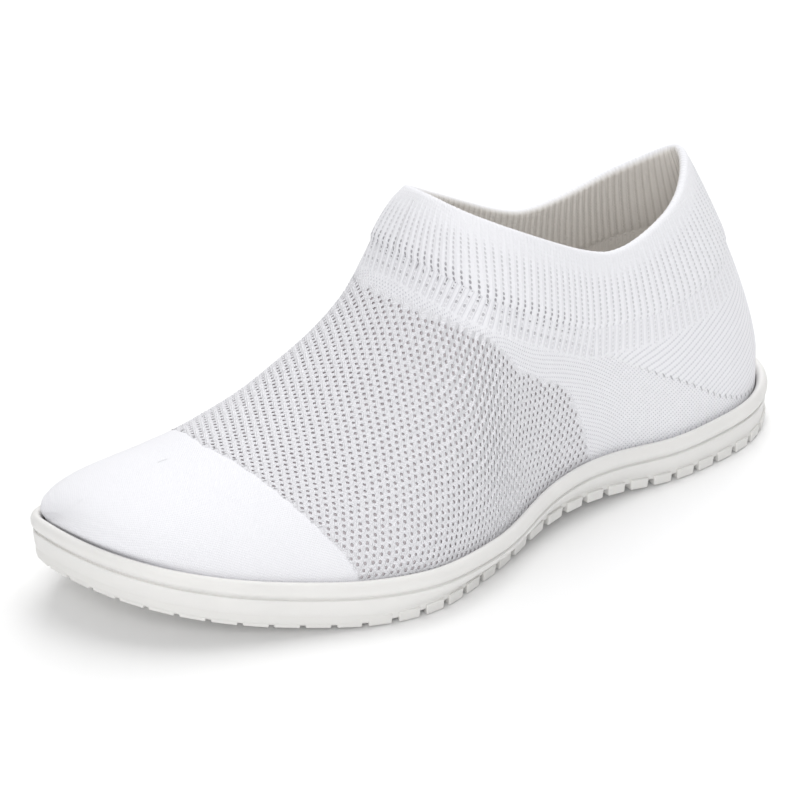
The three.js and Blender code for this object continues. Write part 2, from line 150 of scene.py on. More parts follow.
# Lines between the knit's zones, as stations at given rises up the side (in radians, 0 at the feather
# line): where the open mesh ends towards the toe cap and towards the heel, and how much of a length
# along the shoe lies square to its line on the heel's side.
TOE_LINE_RISE = np.array([0, 0.25, 0.49, 0.75, 1.0, 1.21, 1.48, RIGHT_ANGLE])
TOE_LINE_AT = np.array([0.754, 0.763, 0.775, 0.785, 0.792, 0.797, 0.802, 0.805])
MESH_LINE_RISE = np.array([0, 0.07, 0.16, 0.24, 0.3, 0.35, 0.46, 0.65, 0.86, 1.08, 1.28, 1.48,
                           RIGHT_ANGLE])
MESH_LINE_AT = np.array([0.364, 0.37, 0.38, 0.392, 0.41, 0.432, 0.47, 0.502, 0.528, 0.544, 0.554, 0.558,
                         0.56])
MESH_LINE_SLANT = 0.85

# The gore seam runs from the cuff's front down and back to the heel's foot: stations and heights.
GORE_AT = np.array([0, 0.102, 0.146, 0.212, 0.252, 0.288, 0.362, 0.45])
GORE_HEIGHT = np.array([11.5, 17.2, 22, 33.4, 39, 43.9, 54.7, 67])
GORE_SLANT = 0.87

# Sizes of the knit: stitches of the side, toe and insole, ribs and stitches of the heel and the ribs'
# slant, courses of the cuff, plies of the mesh, the stitches along the gore and where they fade, and
# where the toe's knit begins. Then the grey painted in each pinhole as the shade inside it.
SIDE_STITCH = (0.8, 0.72)
TOE_STITCH = (0.45, 0.5)
INSOLE_WEAVE = (0.5, 0.5)
HEEL_RIB = 1.7
HEEL_STITCH = 1.25
RIB_SLANT = (0.577, 0.816)
COURSE = 1.4
PLY_PITCH = 1.06
SEAM_PITCH = 3.0
SEAM_FADE = (68.0, 84.0)
TOE_KNIT = (205.0, 225.0)
PINHOLE_SHADE = "#96949A"

# Soft creases of the toe: height up the side, first station and depth of each, and their width and end.
# Then the step ahead of the mesh band: its depth, and its stations at lengths up the side.
TOE_CREASES = ((4.0, 0.9, 0.16), (7.6, 0.91, 0.13), (11.4, 0.93, 0.1))
TOE_CREASE_WIDTH = 1.1
TOE_CREASE_END = 0.996
TOE_BAND_STEP = 0.12
TOE_BAND_LINE = ((0, 60), (0.81, 0.875))

# Marks in place of the distance inside the mesh: outside it, and on the inner side of the knit.
OUTSIDE_MESH = -4.0
INNER_SIDE = -9.0


def linear(code):
    """Linear colour of an sRGB hex code."""
    channels = [int(code[i:i + 2], 16) / 255 for i in (1, 3, 5)]
    return [c / 12.92 if c <= 0.04045 else ((c + 0.055) / 1.055) ** 2.4 for c in channels] + [1.0]


def along(xs, ys, at):
    """Smooth curve through points, the same as the CAD part's."""
    at = np.asarray(at, float)
    i = np.clip(np.searchsorted(xs, at, "left") - 1, 0, len(xs) - 2)
    step = np.diff(xs)
    chord = np.diff(ys) / step
    slope = np.concatenate([chord[:1], (chord[:-1] * step[1:] + chord[1:] * step[:-1])
                            / (step[:-1] + step[1:]), chord[-1:]])
    t = (at - xs[i]) / step[i]
    t2, t3 = t * t, t * t * t
    return ((2 * t3 - 3 * t2 + 1) * ys[i] + (t3 - 2 * t2 + t) * step[i] * slope[i]
            + (3 * t2 - 2 * t3) * ys[i + 1] + (t3 - t2) * step[i] * slope[i + 1])


def clamp(value):
    return np.clip(value, 0.0, 1.0)


def smooth(value):
    """Soft step from 0 to 1 as the value goes from 0 to 1."""
    t = clamp(value)
    return t * t * (3 - 2 * t)


def end_cap(distance, cap):
    reach, power = cap
    return (1 - (1 - clamp(distance / reach)) ** power) ** (1 / power)


def middle(at):
    """How far the sole's middle has swung to the big toe's side at a station."""
    return TOE_TIP_OFFSET * smooth((at - SWING_START) / (1 - SWING_START))


def lift(at):
    """Height of the underside above the floor: raised waist, toe spring and heel bevel."""
    arch = np.sin(HALF_TURN * clamp((at - ARCH_START) / ARCH_REACH)) ** 2
    toe = clamp((at - TOE_SPRING_START) / (1 - TOE_SPRING_START)) ** TOE_SPRING_POWER
    heel = clamp((HEEL_BEVEL_END - at) / HEEL_BEVEL_END) ** 2
    return ARCH_LIFT * arch + TOE_SPRING * toe + HEEL_SPRING * heel


def outline(angle):
    """Sole outline by angle: 0 at the heel, over the lateral side to a half turn at the toe, and back."""
    at = (1 - np.cos(angle)) / 2
    lateral = np.sin(angle) >= 0
    side = np.where(lateral, 1.0, -1.0)
    width = BALL_WIDTH * np.where(lateral, along(OUTLINE_AT, LATERAL, at), along(OUTLINE_AT, MEDIAL, at))
    toe = np.where(lateral, end_cap(1 - at, TOE_CAP_LATERAL), end_cap(1 - at, TOE_CAP_MEDIAL))
    centre = middle(at)
    return np.stack([at * SOLE_LENGTH, centre + (side * width - centre) * end_cap(at, HEEL_CAP) * toe], -1)


def edge(angle, inset):
    """The outline moved inward by a distance, square to itself."""
    run = outline(angle + 0.004) - outline(angle - 0.004)
    normal = np.stack([-run[..., 1], run[..., 0]], -1)
    normal /= np.linalg.norm(normal, axis=-1, keepdims=True)
    return outline(angle) - normal * np.asarray(inset)[..., None]


def edge_point(angle, inset, height):
    flat = edge(angle, inset)
    return np.concatenate([flat, (height + lift(flat[..., 0] / SOLE_LENGTH))[..., None]], -1)


def tread_inset(angle):
    """How far the sole's lower edge draws in under the waist."""
    at = (1 - np.cos(angle)) / 2
    lateral, medial = (along(OUTLINE_AT, tuck, at) for tuck in (TUCK_LATERAL, TUCK_MEDIAL))
    return WALL_BATTER + WAIST_TUCK * np.maximum(0, np.where(np.sin(angle) >= 0, lateral, medial))


def ridge(at):
    return INSTEP_HEIGHT * along(SECTION_AT, RIDGE, at) * end_cap(1 - at, TOE_CAP_HEIGHT)


def upper_point(at, side, rise):
    """The upper's outer face at a station, on side 1 (lateral) or -1, at a rise from the feather line."""
    at, side, rise = np.broadcast_arrays(*(np.asarray(value, float) for value in (at, side, rise)))
    angle = np.arccos(1 - 2 * clamp(at))
    inset = np.full(at.shape, UPPER_INSET)
    lateral, medial = edge(angle, inset), edge(-angle, inset)
    foot = np.where((side > 0)[..., None], lateral, medial)
    mid = (lateral + medial) / 2
    up = np.sin(rise)
    height = ridge(at) * up
    narrowing = np.maximum(0, np.cos(rise)) ** (2 / along(SECTION_AT, ROUND, at))
    reach = BALL_WIDTH * along(SECTION_AT, OFFSET, at) - mid[..., 1]
    base_x = foot[..., 0] + (mid[..., 0] - foot[..., 0]) * up * up
    lean = HEEL_LEAN * clamp((height / COLLAR_BACK - LEAN_START) / (1 - LEAN_START)) ** LEAN_POWER
    fade = clamp(1 - at / LEAN_END) ** LEAN_FADE
    rounding = end_cap(1 - at, TOE_CAP_HEIGHT)
    puff = TOE_PUFF * smooth((at - PUFF_START) / (1 - PUFF_START)) * rounding * np.sin(HALF_TURN * up)
    outward = (foot - edge(side * angle, inset + 1)) * puff[..., None]
    y = mid[..., 1] + reach * rounding * up * up + (foot[..., 1] - mid[..., 1]) * narrowing
    return np.stack([base_x + lean * fade + outward[..., 0], y + outward[..., 1],
                     FEATHER + lift(base_x / SOLE_LENGTH) + height], -1)


def upper_normal(at, side, rise):
    """Outward direction of the upper's face."""
    at, side, rise = np.broadcast_arrays(*(np.asarray(value, float) for value in (at, side, rise)))
    angle = np.clip(np.arccos(1 - 2 * clamp(at)), 0.03, HALF_TURN - 0.03)
    up = np.clip(rise, 0.02, RIGHT_ANGLE - 0.02)
    step = 0.012
    ahead, behind = (1 - np.cos(angle + step)) / 2, (1 - np.cos(angle - step)) / 2
    run = upper_point(ahead, side, up) - upper_point(behind, side, up)
    here = (1 - np.cos(angle)) / 2
    climb = upper_point(here, side, up + step) - upper_point(here, side, up - step)
    normal = np.cross(run, climb) * -side[..., None]
    return normal / np.linalg.norm(normal, axis=-1, keepdims=True)


def ankle_rise(at, line):
    """Rise of a line round the ankle that dips between the heel and where it crosses the ridge."""
    end, lowest, back, low, rear_power, front_power = line
    rear = low + (back - low) * clamp((lowest - at) / lowest) ** rear_power
    front = low + (ridge(np.asarray(end)) - low) * clamp((at - lowest) / (end - lowest)) ** front_power
    height = np.where(at < lowest, rear, front)
    return np.where(at >= end, RIGHT_ANGLE, np.arcsin(clamp(height / ridge(at))))


def cuff_point(turn, share):
    """Station, side and rise round the ankle at a share of the cuff's height, 0 at its lower line."""
    side = np.where(turn <= HALF_TURN, 1.0, -1.0)
    angle = np.where(turn <= HALF_TURN, turn, 2 * HALF_TURN - turn)
    station = (1 - np.cos(angle)) / 2
    low, high = station * CUFF_END, station * COLLAR_END
    front = station > 0.99999
    start = np.where(front, RIGHT_ANGLE, ankle_rise(low, CUFF_LINE))
    end = np.where(front, RIGHT_ANGLE, ankle_rise(high, RIM_LINE))
    return low + (high - low) * share, side, start + (end - start) * share


def cuff_wales(pitch):
    """Turns round the ankle and the count of wales passed there along the cuff's lower line, and in all."""
    turn = np.linspace(0, 2 * HALF_TURN, 1441)
    line = upper_point(*cuff_point(turn, 0.0))
    run = np.concatenate([[0], np.cumsum(np.linalg.norm(np.diff(line, axis=0), axis=1))])
    number = round(run[-1] / pitch)
    return turn, line, run * number / run[-1], number


def prominence(angle):
    """How far the lugs stand out: 0 round the toe, where they are flush, to 1 from the ball back."""
    at = (1 - np.cos(angle)) / 2
    return 1 - smooth((at - LUGS_STAND_OUT) / (LUGS_FLUSH - LUGS_STAND_OUT))


class SkinMap:
    """Lengths over the upper's face: converts between stations and rises and millimetres of knit."""

    STATIONS = 420
    ROWS = 160

    def __init__(self):
        self.at = np.linspace(0, 1, self.STATIONS)
        share = np.linspace(0, 1, self.ROWS)
        self.rises = RIGHT_ANGLE * (1 - (1 - share) ** 1.6)
        self.lengths = {}
        for side in (1, -1):
            points = upper_point(self.at[:, None], side, self.rises[None, :])
            steps = np.linalg.norm(np.diff(points, axis=1), axis=-1)
            self.lengths[side] = np.concatenate([np.zeros((self.STATIONS, 1)), np.cumsum(steps, axis=1)], 1)
        low_line = upper_point(self.at, 1, np.full(self.STATIONS, 0.5))
        top_line = upper_point(self.at, 1, np.full(self.STATIONS, RIGHT_ANGLE))
        low_step, top_step = (np.linalg.norm(np.diff(p, axis=0), axis=1) for p in (low_line, top_line))
        share = 0.5 * smooth((self.at[1:] - 0.5) / 0.08)
        self.run = np.concatenate([[0], np.cumsum(low_step * (1 - share) + top_step * share)])

    def u_of(self, at):
        """Millimetres of knit from the heel."""
        return np.interp(at, self.at, self.run)

    def at_of(self, u):
        return np.interp(u, self.run, self.at)

    def up_of(self, at, side, rise):
        """Millimetres up one side from the feather line."""
        table = self.lengths[side]
        i, a = self._column(at)
        row = np.interp(rise, self.rises, np.arange(self.ROWS))
        k = np.minimum(row.astype(int), self.ROWS - 2)
        b = row - k
        return ((1 - a) * (1 - b) * table[i, k] + a * (1 - b) * table[i + 1, k]
                + (1 - a) * b * table[i, k + 1] + a * b * table[i + 1, k + 1])

    def rise_of(self, at, side, up):
        """Rise at a given length up the side."""
        at, side, up = np.broadcast_arrays(at, side, up)
        column, share = self._column(at)
        result = np.empty(at.shape)
        for place in np.ndindex(at.shape):
            low, high = self.lengths[side[place]][column[place]:column[place] + 2]
            result[place] = np.interp(up[place], low * (1 - share[place]) + high * share[place], self.rises)
        return result

    def girth_of(self, at, side):
        """Millimetres of knit from the feather line to the ridge on one side."""
        return np.interp(at, self.at, self.lengths[side][:, -1])

    def _column(self, at):
        """The tabled station below each station, and the share of the way to the next."""
        column = np.clip(at, 0, 1) * (self.STATIONS - 1)
        low = np.minimum(column.astype(int), self.STATIONS - 2)
        return low, column - low


def mesh_margin(at, rise):
    """Distance in millimetres inside the open mesh zone, negative outside."""
    toe = (np.interp(rise, TOE_LINE_RISE, TOE_LINE_AT) - at) * SOLE_LENGTH
    heel = (at - np.interp(rise, MESH_LINE_RISE, MESH_LINE_AT)) * SOLE_LENGTH * MESH_LINE_SLANT
    return np.minimum(toe, heel)


def make_piece(name, points, faces, material, replaced, attributes=None):
    """Mesh object from millimetre points, riding on the frame in place of its CAD node."""
    mesh = bpy.data.meshes.new(name)
    placed = (np.asarray(points) - CENTRE) * MM
    mesh.from_pydata(placed.tolist(), [], faces)
    mesh.polygons.foreach_set("use_smooth", [True] * len(mesh.polygons))
    for label, values in (attributes or {}).items():
        layer = mesh.attributes.new(label, "FLOAT_VECTOR", "POINT")
        layer.data.foreach_set("vector", np.asarray(values, np.float32).ravel())
    mesh.materials.append(material)
    mesh.update()
    piece = bpy.data.objects.new(name, mesh)
    bpy.context.scene.collection.objects.link(piece)
    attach(piece, "root")
    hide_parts(replaced)
    return piece


def grid_faces(rows, columns, start=0, closed=False, flip=False):
    """Quads of a grid of points stored row by row, closed round the rows when asked."""
    r = np.arange(rows - 1)[:, None]
    c = np.arange(columns if closed else columns - 1)[None, :]
    after = (c + 1) % columns
    quads = np.stack(np.broadcast_arrays(r * columns + c, r * columns + after,
                                         (r + 1) * columns + after, (r + 1) * columns + c), -1).reshape(-1, 4)
    return (quads[:, ::-1] if flip else quads) + start


def fill(tree, node, values):
    """Fills a node's inputs with constants or links."""
    for key, value in values.items():
        if isinstance(value, bpy.types.NodeSocket):
            tree.links.new(value, node.inputs[key])
        else:
            node.inputs[key].default_value = value


def add(tree, kind, inputs=None, **settings):
    """Adds a node, sets its fields and fills its inputs."""
    node = tree.nodes.new("ShaderNode" + kind)
    for field, value in settings.items():
        setattr(node, field, value)
    fill(tree, node, inputs or {})
    return node


def maths(tree, operation, first, second=0.0, third=0.0):
    return add(tree, "Math", {0: first, 1: second, 2: third}, operation=operation).outputs[0]


def times(tree, first, second):
    return maths(tree, "MULTIPLY", first, second)


def rest_of(tree, share):
    """What a share leaves of 1."""
    return maths(tree, "SUBTRACT", 1.0, share)


def material_with(name):
    """New node material and its surface shader."""
    material = bpy.data.materials.new(name)
    material.use_nodes = True
    tree = material.node_tree
    tree.nodes.clear()
    output = add(tree, "OutputMaterial")
    shader = add(tree, "BsdfPrincipled")
    tree.links.new(shader.outputs["BSDF"], output.inputs["Surface"])
    return material, tree, shader


def fill_cloth(tree, shader, color, rough, normal):
    """Fills a shader as matte cloth with the faint sheen of short fibres."""
    fill(tree, shader, {"Base Color": color, "Roughness": rough, "IOR": 1.5, "Sheen Weight": 0.2,
                        "Sheen Roughness": 0.5, "Normal": normal})


def components(tree, name):
    """The three numbers of a stored point attribute."""
    source = add(tree, "Attribute", attribute_name=name)
    split = add(tree, "SeparateXYZ", {0: source.outputs["Vector"]})
    return split.outputs[0], split.outputs[1], split.outputs[2]


def wave(tree, length, period):
    """Cosine of a length in millimetres, 1 at its crests."""
    return maths(tree, "COSINE", times(tree, length, 2 * HALF_TURN / period))


def stitches(tree, u, v, pitches):
    """Staggered stitches: 1 on each stitch and -1 in the pits between them."""
    return times(tree, wave(tree, u, 2 * pitches[0]), wave(tree, v, 2 * pitches[1]))


def step(tree, value, start, end):
    """Soft step from 0 to 1 between two values."""
    limits = {"Value": value, "From Min": start, "From Max": end}
    return add(tree, "MapRange", limits, interpolation_type="SMOOTHSTEP").outputs[0]


def blend(tree, share, first, second):
    return add(tree, "Mix", {0: share, 2: first, 3: second}, data_type="FLOAT").outputs[0]


def tint(tree, share, first, second):
    """Colour between two colours."""
    return add(tree, "Mix", {0: share, 6: first, 7: second}, data_type="RGBA").outputs[2]


def bump(tree, height, distance):
    """Surface normal of a height, whose unit stands for the distance in millimetres."""
    return add(tree, "Bump", {"Height": height, "Distance": distance * MM, "Strength": 1.0}).outputs[0]


def object_noise(tree, size, detail=2.0):
    """Noise whose cells are about the size in millimetres."""
    place = add(tree, "TexCoord").outputs["Object"]
    return add(tree, "TexNoise", {"Vector": place, "Scale": 1 / (size * MM), "Detail": detail}).outputs["Fac"]


def spots(tree, x, y, wide, tall, slant=0.0):
    """Round spots, 1 inside, from two lengths that are 0 at each spot's middle."""
    leaning = maths(tree, "MULTIPLY_ADD", y, -slant, x)
    across = maths(tree, "POWER", maths(tree, "DIVIDE", leaning, wide), 2.0)
    along_it = maths(tree, "POWER", maths(tree, "DIVIDE", y, tall), 2.0)
    return rest_of(tree, step(tree, maths(tree, "ADD", across, along_it), 0.5, 1.3))


def folded(tree, length, period):
    """Distance to the nearest multiple of the period, with its sign."""
    share = maths(tree, "FRACT", maths(tree, "MULTIPLY_ADD", length, 1 / period, 0.5))
    return maths(tree, "MULTIPLY_ADD", share, period, -period / 2)


def band(tree, value, start, end, soft):
    """1 between two values and 0 outside them, with soft ends."""
    return times(tree, step(tree, value, start - soft, start),
                 rest_of(tree, step(tree, value, end, end + soft)))


def wale_dots(tree, wale, down, pitch):
    """Small dots in the valleys between wales, one at every course: the pinholes, where the materials paint
    the shade inside each hole grey.
    """
    x = times(tree, folded(tree, wale, 1.0), pitch)
    return spots(tree, x, folded(tree, down, COURSE), 0.42, 0.5)


def lace_weight(tree, wale, number):
    """1 over the front half of the cuff and 0 behind, from the count of wales."""
    share = maths(tree, "DIVIDE", wale, number)
    away = maths(tree, "ABSOLUTE", maths(tree, "SUBTRACT", share, 0.5))
    return rest_of(tree, step(tree, away, 0.17, 0.27))


def knitted_polyester(settings, number):
    """White jacquard knit: fine stitches with painted shade in their pits, slanting ribs on the heel, and
    pinholes along the gore and the cuff painted grey as the shade inside them.
    """
    material, tree, shader = material_with("Polyester jacquard knit, flat-knitted")
    u, v, below = components(tree, "knit_mm")
    gore, inside, wale = components(tree, "zone_mm")
    fuzz = object_noise(tree, 0.45)
    across = maths(tree, "MULTIPLY_ADD", object_noise(tree, 7.0), 0.6, u)
    side = stitches(tree, across, v, SIDE_STITCH)
    toe = stitches(tree, v, across, TOE_STITCH)
    ahead_share, up_share = RIB_SLANT
    slope = maths(tree, "MULTIPLY_ADD", across, ahead_share, times(tree, v, -up_share))
    climb = maths(tree, "MULTIPLY_ADD", across, up_share, times(tree, v, ahead_share))
    heel = maths(tree, "MULTIPLY_ADD", wave(tree, climb, HEEL_STITCH), 0.25, wave(tree, slope, HEEL_RIB))
    wales = times(tree, wave(tree, wale, 0.5), 0.7)
    behind = step(tree, gore, -0.3, 0.3)
    ahead = step(tree, u, *TOE_KNIT)
    near_cuff = rest_of(tree, step(tree, below, 6.5, 9.5))
    knit = blend(tree, ahead, blend(tree, behind, side, heel), toe)
    knit = blend(tree, near_cuff, knit, wales)
    seam = spots(tree, folded(tree, u, SEAM_PITCH), gore, 0.36, 0.7, 0.45)
    seam = times(tree, seam, blend(tree, step(tree, u, *SEAM_FADE), 0.7, 0.0))
    front = lace_weight(tree, wale, number)
    dots = wale_dots(tree, wale, below, settings.wale_pitch / MM)
    lace = times(tree, band(tree, below, 0.0, 1.2, 0.3), front)
    second = times(tree, band(tree, below, 3.4, 4.8, 0.3), times(tree, front, 0.7))
    strength = maths(tree, "MAXIMUM", maths(tree, "MAXIMUM", lace, second), times(tree, near_cuff, 0.3))
    holes = maths(tree, "MAXIMUM", seam, times(tree, dots, strength))
    # Painted shade: the yarn is tinted grey in the pits between stitches, fully on the side panel, less on
    # the heel and least on the toe.
    pits = step(tree, times(tree, knit, -1.0), 0.3, 1.0)
    calm = blend(tree, ahead, blend(tree, behind, 1.0, 0.6), 0.35)
    height = maths(tree, "MULTIPLY_ADD", fuzz, 0.35, times(tree, knit, times(tree, calm, 0.5)))
    height = maths(tree, "SUBTRACT", height, times(tree, holes, 2.0))
    yarn = tint(tree, times(tree, pits, times(tree, calm, 0.8)), settings.yarn, linear("#BDBDC4"))
    # Painted shade: the pinholes along the gore and by the cuff are tinted grey as the shade inside them.
    yarn = tint(tree, times(tree, holes, 0.8), yarn, linear(PINHOLE_SHADE))
    lining = tint(tree, fuzz, settings.lining, linear("#C9C1C5"))
    color = tint(tree, step(tree, inside, 0.3, 0.7), yarn, lining)
    color = tint(tree, step(tree, inside, INNER_SIDE, OUTSIDE_MESH), settings.cuff_inside, color)
    fill_cloth(tree, shader, color, 0.86, bump(tree, height, 0.2))
    return material


def mesh_knit(settings):
    """Open warp mesh: bright slanted stitches run over the bars between its holes, with painted shade in the
    grooves between plies and where the sheet lies deep in its holes.
    """
    material, tree, shader = material_with("Polyester warp-knit mesh")
    u, v, deep = components(tree, "knit_mm")
    fuzz = object_noise(tree, 0.4)
    zigzag = maths(tree, "ABSOLUTE", folded(tree, v, 2 * settings.mesh_across / MM))
    ply = wave(tree, maths(tree, "MULTIPLY_ADD", u, 1.3, zigzag), PLY_PITCH)
    height = maths(tree, "MULTIPLY_ADD", ply, 0.5, times(tree, fuzz, 0.4))
    # Painted shade: the yarn is tinted grey in the grooves between plies and where the sheet lies deep, in
    # its holes and sunk corners.
    groove = step(tree, times(tree, ply, -1.0), 0.2, 1.0)
    shade = maths(tree, "MAXIMUM", step(tree, deep, 0.02, 0.3), times(tree, groove, 0.1))
    color = tint(tree, times(tree, shade, 0.8), settings.yarn, linear("#ABA3A6"))
    fill_cloth(tree, shader, color, 0.85, bump(tree, height, 0.16))
    return material


def rib_knit(settings, number):
    """Rib knit of the cuff: pairs of fine wales with a small pinhole between them at every course, painted
    grey as the shade inside it.
    """
    material, tree, shader = material_with("Polyester rib knit, folded double")
    wale, low, inner = components(tree, "knit_mm")
    down = components(tree, "zone_mm")[0]
    fuzz = object_noise(tree, 0.4)
    strands = wave(tree, wale, 0.5)
    lace = times(tree, band(tree, low, -2.0, 3.6, 2.2), lace_weight(tree, wale, number))
    strength = times(tree, maths(tree, "MAXIMUM", lace, 0.42), step(tree, down, 4.0, 10.0))
    dots = times(tree, wale_dots(tree, wale, low, settings.wale_pitch / MM), strength)
    height = maths(tree, "MULTIPLY_ADD", fuzz, 0.35, times(tree, strands, 0.3))
    height = maths(tree, "MULTIPLY_ADD", wave(tree, low, COURSE), 0.15, height)
    height = maths(tree, "SUBTRACT", height, times(tree, dots, 2.0))
    # Painted shade: the cuff's pinholes are tinted grey as the shade inside them.
    outside = tint(tree, times(tree, dots, 0.8), settings.yarn, linear(PINHOLE_SHADE))
    # Painted shade: the lining inside the cuff is tinted warm grey in the grooves between its ribs.
    groove = step(tree, wave(tree, wale, 1.0), 0.3, 1.0)
    lining = tint(tree, times(tree, groove, 0.6), settings.cuff_inside, linear("#E2DDD6"))
    color = tint(tree, step(tree, inner, 0.4, 1.0), outside, lining)
    fill_cloth(tree, shader, color, 0.86, bump(tree, height, 0.18))
    return material


def moulded_foam(settings):
    """Injection moulded EVA: satin, with a very fine orange-peel skin and faintly cloudy shade and gloss."""
    material, tree, shader = material_with("EVA foam, injection moulded")
    peel = object_noise(tree, 0.35, 3.0)
    cloud = object_noise(tree, 14.0)
    color = tint(tree, cloud, settings.foam, linear("#E2E1DF"))
    rough = add(tree, "MapRange", {"Value": cloud, "To Min": 0.42, "To Max": 0.52}).outputs[0]
    fill(tree, shader, {"Base Color": color, "Roughness": rough, "IOR": 1.49, "Subsurface Weight": 0.12,
                        "Subsurface Radius": (0.002, 0.0019, 0.0018), "Subsurface Scale": 1.0,
                        "Normal": bump(tree, peel, 0.03)})
    return material


def moulded_rubber(settings):
    """Moulded tread rubber: slightly darker and duller than the foam, with fine mould grain."""
    material, tree, shader = material_with("White rubber, compression moulded")
    grain = object_noise(tree, 0.5, 4.0)
    cloud = object_noise(tree, 10.0)
    color = tint(tree, cloud, settings.rubber, linear("#E2E1DE"))
    rough = add(tree, "MapRange", {"Value": grain, "To Min": 0.5, "To Max": 0.62}).outputs[0]
    fill(tree, shader, {"Base Color": color, "Roughness": rough, "IOR": 1.52,
                        "Normal": bump(tree, grain, 0.05)})
    return material


def insole_cloth():
    """Laminated insole cover: plain fine weave, matte, with painted shade in the low pits of the weave."""
    material, tree, shader = material_with("Insole cover, woven polyester on foam")
    place = add(tree, "SeparateXYZ", {0: add(tree, "TexCoord").outputs["Object"]})
    scaled = [times(tree, place.outputs[i], 1 / MM) for i in (0, 1)]
    weave = stitches(tree, *scaled, INSOLE_WEAVE)
    # Painted shade: the cover is darker where its weave lies low and lighter on its crests.
    color = tint(tree, step(tree, weave, -1.0, 1.0), linear("#E0DDD9"), linear("#EBE8E4"))
    fill(tree, shader, {"Base Color": color, "Roughness": 0.9, "IOR": 1.5, "Sheen Weight": 0.2,
                        "Normal": bump(tree, weave, 0.1)})
    return material


def length_setting(name, description, millimetres, low, high):
    return bpy.props.FloatProperty(name=name, description=description, default=millimetres * MM, min=low * MM,
                                   max=high * MM, precision=5, subtype="DISTANCE", unit="LENGTH")


def color_setting(name, description, code):
    return bpy.props.FloatVectorProperty(name=name, description=description, default=linear(code), size=4,
                                         min=0, max=1, subtype="COLOR")


class ShoeSettings(bpy.types.PropertyGroup):
    """Sizes and colours of the shoe's visible pieces."""

    mesh_along: length_setting("Mesh pitch along", "Distance between mesh holes along a row", 2.5, 2.0, 6)
    mesh_across: length_setting("Mesh pitch across", "Distance between rows of mesh holes", 1.95, 1.5, 6)
    mesh_hole: length_setting("Mesh hole", "Width of one mesh hole", 1.2, 0.4, 2)
    mesh_depth: length_setting("Mesh depth", "Thickness of the mesh over its lining", 0.45, 0.3, 1.2)
    wale_pitch: length_setting("Wale pitch", "Distance between the cuff's ribs", 2.9, 1.2, 4)
    wale_height: length_setting("Wale height", "Depth of the grooves between the cuff's ribs", 0.3, 0, 0.8)
    yarn: color_setting("Yarn", "Colour of the knit", "#EFEFF3")
    lining: color_setting("Lining", "Colour under the mesh", "#DED6D9")
    cuff_inside: color_setting("Cuff inside", "Colour inside the cuff", "#FAF6F1")
    foam: color_setting("Foam", "Colour of the midsole", "#E9E8E6")
    rubber: color_setting("Rubber", "Colour of the outsole", "#E2E1DF")


